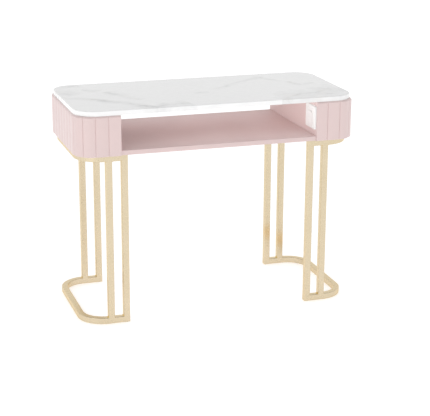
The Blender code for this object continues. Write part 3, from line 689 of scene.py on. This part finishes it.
def groove_places(length):
    """Distances along the wrap of the grooves; the flutes at its two ends are a little narrower."""
    pitch = (length - 2 * END_FLUTE) / (FLUTES - 2)
    return [END_FLUTE + groove * pitch for groove in range(FLUTES - 1)]


def flute_offset(distance, grooves):
    """How far the fluted face lies inside the wrap line: shallow crowns between V grooves."""
    pitch = grooves[1] - grooves[0]
    away = min(abs(distance - groove) for groove in grooves)
    crown = FLUTE_CROWN * max(0.0, 1 - 2 * away / pitch) ** 2
    groove = GROOVE_DEPTH * max(0.0, 1 - away / GROOVE_HALF_WIDTH) ** GROOVE_SHARPNESS
    return -crown - groove


def end_round(distance, length):
    """How far the skin's outer face draws in where it turns the corner into the cubby."""
    away = min(distance, length - distance)
    if away >= SKIN_END_ROUND:
        return 0.0
    return SKIN_END_ROUND - math.sqrt(SKIN_END_ROUND**2 - (SKIN_END_ROUND - away) ** 2)


def wrap_stations(wrap):
    """Distances along the wrap where the skin is sampled: close together at grooves and ends."""
    grooves = groove_places(wrap.length)
    stations = {0.0, wrap.length}
    for start, end in zip([0.0] + grooves, grooves + [wrap.length]):
        stations.update(start + (end - start) * part / FLUTE_STEPS for part in range(1, FLUTE_STEPS))
    for groove in grooves:
        for away in GROOVE_STEPS:
            stations.update((groove + away * GROOVE_HALF_WIDTH, groove - away * GROOVE_HALF_WIDTH))
    for step in quarter(4):
        away = SKIN_END_ROUND * (1 - math.cos(step))
        stations.update((away, wrap.length - away))
    ordered = sorted(stations)
    kept = ordered[:1]
    for station in ordered[1:]:
        if station - kept[-1] > 1e-5:
            kept.append(station)
    return kept


def skin_section(face, shoulder, top):
    """(offset, height) round a skin's section: its upper edge slopes in by shoulder from its face."""
    section = []
    for angle in quarter(4):
        inset, rise = 1 - math.sin(angle), 1 - math.cos(angle)
        section.append((face - SKIN_BOTTOM_ROUND * inset, SKIN_LOW.z + SKIN_BOTTOM_ROUND * rise))
    for angle in quarter(7):
        slope = angle / (math.pi / 2)
        inset = SKIN_TOP_ROUNDNESS * (1 - math.cos(angle)) + (1 - SKIN_TOP_ROUNDNESS) * slope
        drop = SKIN_TOP_ROUNDNESS * (1 - math.sin(angle)) + (1 - SKIN_TOP_ROUNDNESS) * (1 - slope)
        section.append((face - shoulder * inset, top - SKIN_TOP_DROP * drop))
    return section + [(-SKIN_THICKNESS, top), (-SKIN_THICKNESS, SKIN_LOW.z)]


def make_skin(side_name, side):
    wrap = Wrap(side, SKIN_LOW, SKIN_HIGH, SKIN_CORNER_RADIUS)
    grooves = groove_places(wrap.length)
    top = TOP_LOW.z - SKIN_TOP_GAP
    overhang = SKIN_HIGH.x - TOP_HIGH.x
    rings = []
    for distance in wrap_stations(wrap):
        face = flute_offset(distance, grooves) - end_round(distance, wrap.length)
        section = skin_section(face, overhang + face, top)
        rings.append([(*wrap.at(distance, offset), height) for offset, height in section])
    shape = bmesh.new()
    add_loft(shape, rings)
    add_piece(f"{side_name}_fluted_wrap", shape, PINK, "pink_lacquer", f"{side_name}_fluted_skin")


# --- Square-tube frames ---------------------------------------------------------------------------


def add_bar(shape, wrap, low, high):
    """A square tube along a wrap line, whose outer face is on the line, with softly closed ends.

    Its ends lie a hair inside the legs' side faces, so that no two faces share a plane.
    """
    middle = (low + high) / 2
    stations = [BAR_END_STEP, BAR_END_STEP + BAR_END_ROUND, wrap.front]
    stations += [wrap.front + wrap.bend * (step + 1) / BAR_BEND_STEPS for step in range(BAR_BEND_STEPS)]
    stations += [wrap.length - station for station in reversed(stations)]
    rings = []
    for station in stations:
        shrink = BAR_END_ROUND if station in (stations[0], stations[-1]) else 0.0
        half = TUBE / 2 - shrink
        section = rounded_rectangle(half, half, TUBE_EDGE_ROUND - shrink, 3)
        rings.append([(*wrap.at(station, out - TUBE / 2), middle + up) for out, up in section])
    add_loft(shape, rings)


def add_weld(shape, x, y, level, way_x, way_z):
    """A rippled fillet bead in the corner between a leg's side face and a bar, across the tube."""
    rings = []
    for step in range(WELD_STEPS + 1):
        part = step / WELD_STEPS
        ripple = 1 + WELD_RIPPLE * math.sin(part * math.tau * WELD_RIPPLES)
        ripple += WELD_DRIFT * math.sin(part * WELD_DRIFT_LENGTH + x * WELD_SHIFT)
        tapered = math.sin(math.pi * min(max(part, 0.03), 0.97)) ** 0.25
        at = y + (part - 0.5) * (TUBE - 2 * WELD_END_GAP)
        ring = [(x - way_x * WELD_SINK, at, level - way_z * WELD_SINK)]
        for angle in quarter(4):
            reach = WELD_SIZE * ripple * tapered * (1 - WELD_HOLLOW * math.sin(2 * angle))
            ring.append((x + way_x * reach * math.cos(angle), at, level + way_z * reach * math.sin(angle)))
        rings.append(ring)
    add_loft(shape, rings)


def make_leg(name, low, high, weld_sides):
    """A leg from bar to bar: a rounded square tube sunk into both, with its weld beads."""
    middle = (low + high) / 2
    shape = bmesh.new()
    section = rounded_rectangle(TUBE / 2, TUBE / 2, TUBE_EDGE_ROUND, 3)
    bottom, top = FLOOR_HIGH.z - TUBE_EDGE_ROUND, BAR_LOW.z + TUBE_EDGE_ROUND
    rings = [[(middle.x + x, middle.y + y, height) for x, y in section] for height in (bottom, top)]
    add_loft(shape, rings)
    tube_faces = len(shape.faces)
    for way_x in weld_sides:
        face = middle.x + way_x * TUBE / 2
        add_weld(shape, face, middle.y, FLOOR_HIGH.z, way_x, 1)
        add_weld(shape, face, middle.y, BAR_LOW.z, way_x, -1)
    for index, face in enumerate(shape.faces):
        face.material_index = 0 if index < tube_faces else 1
    leg = add_piece(name.replace("_leg", "_welded_leg"), shape, GOLD, "gold", name)
    leg.data.materials.append(WELD_GOLD)


def make_frame(side_name, side):
    wrap = Wrap(side, BAR_LOW, BAR_HIGH, FRAME_CORNER_RADIUS)
    for bar, low, high in (("top", BAR_LOW.z, BAR_HIGH.z), ("floor", FLOOR_LOW.z, FLOOR_HIGH.z)):
        shape = bmesh.new()
        add_bar(shape, wrap, low, high)
        add_piece(f"{side_name}_{bar}_tube", shape, GOLD, "gold", f"{side_name}_{bar}_bar")
    for end_name in ENDS:
        for which, weld_sides in (("inner", (side,)), ("outer", (side, -side))):
            name = f"{side_name}_{end_name}_{which}_leg"
            make_leg(name, *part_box(name), weld_sides)


# --- Outlet ---------------------------------------------------------------------------------------


def turned_to_wall(shape, centre):
    """Turns a shape built face up about its origin so that it faces -X on the inner panel."""
    turn = Matrix(((0, 0, -1), (-1, 0, 0), (0, 1, 0))).to_4x4()
    bmesh.ops.transform(shape, matrix=Matrix.Translation(centre) @ turn, verts=shape.verts)


def square_rings(profile, corner):
    """Rounded squares, one for each (half size, height) of a profile."""
    rings = []
    for reach, height in profile:
        outline = rounded_rectangle(reach, reach, corner, 6)
        rings.append([(x, y, height) for x, y in outline])
    return rings


def make_outlet_cover(wall, proud):
    """The cover frame: a round-edged square whose inner edge steps down round the insert."""
    half = (BEZEL_HIGH.y - BEZEL_LOW.y) / 2
    window = INSERT_SIZE / 2 + COVER_STEP
    profile = [(window, 0.0), (half, 0.0), (half, proud - COVER_ROUND)]
    for t in quarter(6)[1:]:
        inset, drop = 1 - math.cos(t), 1 - math.sin(t)
        profile.append((half - COVER_ROUND * inset, proud - COVER_ROUND * drop))
    profile.append((window + 2 * COVER_STEP, proud - 0.2 * COVER_STEP))
    profile.append((window + 0.5 * COVER_STEP, proud - 0.5 * COVER_STEP))
    profile.append((window, proud - 1.2 * COVER_STEP))
    shape = bmesh.new()
    add_loft(shape, square_rings(profile, COVER_ROUND), closed=True)
    turned_to_wall(shape, wall)
    add_piece("outlet_cover", shape, WHITE_PLASTIC, "white_plastic", "outlet_bezel")


def pin_hole_rings(hole, face):
    """A blind hole through the insert's face: round-ended, with a small lead-in at its mouth."""
    y, z, width, height, slant = hole
    turn = math.radians(slant)
    rings = []
    for depth, growth in HOLE_PROFILE:
        half_width, half_height = width / 2 + growth, height / 2 + growth
        corner = HOLE_ROUNDNESS * min(half_width, half_height)
        outline = rounded_rectangle(half_width, half_height, corner, 5)
        ring = []
        for across, up in outline:
            turned_y = across * math.cos(turn) - up * math.sin(turn)
            turned_z = across * math.sin(turn) + up * math.cos(turn)
            ring.append((face.x + depth, face.y + y + turned_y, face.z + z + turned_z))
        rings.append(ring)
    return rings


def make_outlet_insert(wall, proud):
    """The insert with its plug holes, and behind it the strap and the body in the back box."""
    half = INSERT_SIZE / 2
    profile = [(half, 0.0), (half, proud - INSERT_ROUND)]
    for t in quarter(4)[1:]:
        inset, drop = 1 - math.cos(t), 1 - math.sin(t)
        profile.append((half - INSERT_ROUND * inset, proud - INSERT_ROUND * drop))
    shape = bmesh.new()
    add_loft(shape, square_rings(profile, INSERT_CORNER))
    turned_to_wall(shape, wall)
    holes = bmesh.new()
    for hole in PIN_HOLES:
        add_loft(holes, pin_hole_rings(hole, wall - Vector((proud, 0, 0))))
    shape = carved(shape, holes)
    strap_back = wall.x - STRAP_WALL_GAP
    strap_low = (strap_back - STRAP_THICKNESS, wall.y - STRAP_HALF_WIDTH, SOCKET_LOW.z)
    strap_high = (strap_back, wall.y + STRAP_HALF_WIDTH, SOCKET_HIGH.z)
    add_board(shape, strap_low, strap_high, SOCKET_CORNER, STRAP_EDGE_ROUND, 3, 1)
    body_low = (wall.x - SOCKET_BODY_OVERLAP, wall.y - SOCKET_BODY_HALF, wall.z - SOCKET_BODY_HALF)
    body_high = (SOCKET_HIGH.x, wall.y + SOCKET_BODY_HALF, wall.z + SOCKET_BODY_HALF)
    add_board(shape, body_low, body_high, SOCKET_CORNER, SOCKET_BODY_EDGE_ROUND, 4, 2)
    add_piece("outlet_insert", shape, WHITE_PLASTIC, "white_plastic", "outlet_socket")


def make_outlet():
    centre = (BEZEL_LOW + BEZEL_HIGH) / 2
    wall = Vector((BEZEL_HIGH.x, centre.y, centre.z))
    make_outlet_cover(wall, BEZEL_HIGH.x - BEZEL_LOW.x)
    make_outlet_insert(wall, BEZEL_HIGH.x - SOCKET_LOW.x)


# --- The rest of the frame's nodes ----------------------------------------------------------------


def finish_cad_nodes():
    """Gives each node that is shown as the CAD model has it the detailed material of its slot."""
    slots = {part["node"]: part["material_slot"] for part in frame["record"]["subparts"]}
    for name, node in nodes.items():
        node.data.materials.clear()
        node.data.materials.append(SLOT_MATERIALS[slots[name]])


MARBLE = marble()
PINK = lacquer("satin_pink_lacquer", 0.55, 0.28, 0.36)
MATT_PINK = lacquer("matt_pink_lacquer", 0.22, 0.48, 0.56)
GOLD = gold()
WELD_GOLD = weld_gold()
WHITE_PLASTIC = plastic("white_plastic", (0.88, 0.872, 0.867), (0.855, 0.848, 0.843), 0.40, 0.00001)
SLOT_MATERIALS = {
    "marble": MARBLE,
    "pink_lacquer": MATT_PINK,
    "gold": GOLD,
    "white_plastic": WHITE_PLASTIC,
    "raw_board": raw_board(),
    "zinc_steel": plated_steel(),
    "nylon": plastic("glide_nylon", (0.72, 0.71, 0.68), (0.66, 0.65, 0.62), 0.50, 0.00005),
    "grey_plastic": plastic("grey_plastic", (0.47, 0.48, 0.49), (0.42, 0.43, 0.44), 0.60, 0.00008),
    "black_plastic": plastic("black_plastic", (0.045, 0.045, 0.047), (0.03, 0.03, 0.03), 0.48, 0.00006),
}

make_camera()
make_studio()
finish_cad_nodes()
make_tabletop()
make_shelf()
for side_name, side in SIDES:
    make_skin(side_name, side)
    make_frame(side_name, side)
make_outlet()
